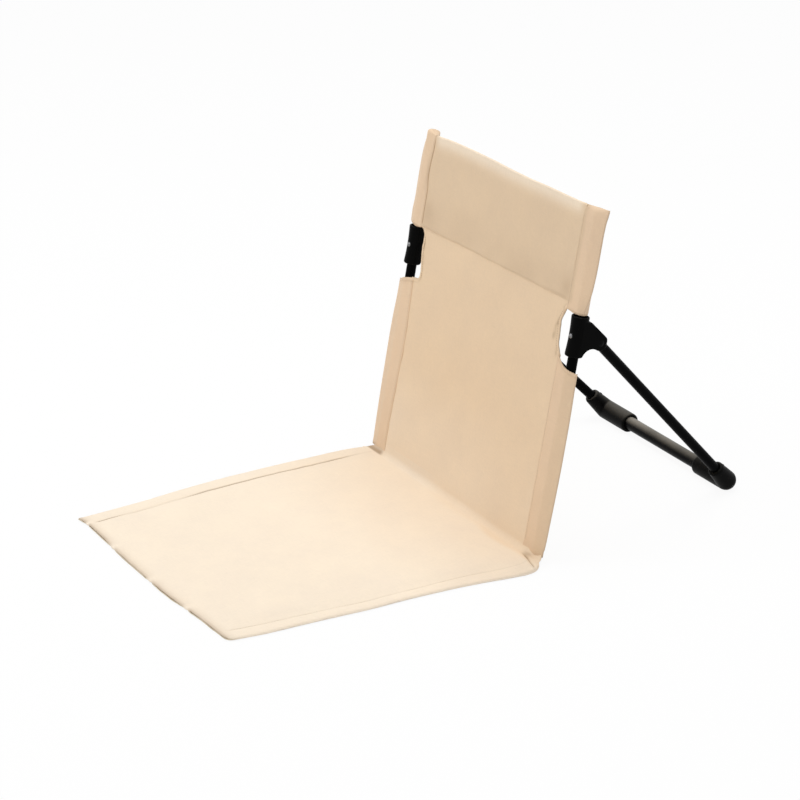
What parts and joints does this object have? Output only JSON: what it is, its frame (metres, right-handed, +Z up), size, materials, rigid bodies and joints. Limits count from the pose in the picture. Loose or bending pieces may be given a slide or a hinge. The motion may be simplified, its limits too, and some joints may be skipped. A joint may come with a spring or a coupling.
{
  "type": "folding floor chair",
  "caption": "Folding floor chair: a flat padded cloth seat, a cloth back stretched on leaning poles, and a rear support of tubes that folds against the back.",
  "frame": {"origin": "middle of the open chair's footprint, on the floor", "axes": "+Z up; the sitter faces -Y, the back leans towards +Y and the rear feet are at +Y; +X is the sitter's left"},
  "size_m": [0.428, 0.781, 0.4443],
  "materials": {
    "black_paint": "satin",
    "black_plastic": "satin",
    "bright_rivet": "satin",
    "black_rivet": "satin",
    "back_cloth": "matte",
    "band_cloth": "matte",
    "sleeve_cloth": "matte",
    "seat_cloth": "matte",
    "foam": "matte"
  },
  "bodies": {
    "back_frame": {"left_pole": "black_paint", "right_pole": "black_paint", "left_pole_top_cap": "black_plastic", "right_pole_top_cap": "black_plastic", "left_pole_foot_cap": "black_plastic", "right_pole_foot_cap": "black_plastic", "left_hub": "black_plastic", "right_hub": "black_plastic", "hub_rivets": "bright_rivet", "pivot_pins": "black_rivet", "back_panel": "back_cloth", "top_band": "band_cloth", "left_upper_sleeve": "sleeve_cloth", "right_upper_sleeve": "sleeve_cloth", "left_lower_sleeve": "sleeve_cloth", "right_lower_sleeve": "sleeve_cloth", "crease_strip": "seat_cloth"},
    "rear_support": {"left_leg": "black_paint", "right_leg": "black_paint", "left_leg_plug": "black_plastic", "right_leg_plug": "black_plastic", "left_foot": "black_plastic", "right_foot": "black_plastic", "crossbar": "black_paint", "foot_rivets": "black_rivet"},
    "seat": {"seat_top_cover": "seat_cloth", "seat_pad": "foam", "seat_bottom_cover": "seat_cloth"}
  },
  "joints": [
    {"name": "rear_support_fold", "type": "hinge", "parent": "back_frame", "child": "rear_support", "pos_m": [0, 0.12912, 0.27511], "axis": [-1, 0, 0], "range_deg": [0, 53.5]},
    {"name": "seat_fold", "type": "hinge", "parent": "back_frame", "child": "seat", "pos_m": [0, 0.03639, 0.0025], "axis": [-1, 0, 0], "range_deg": [-75, 98]}
  ]
}
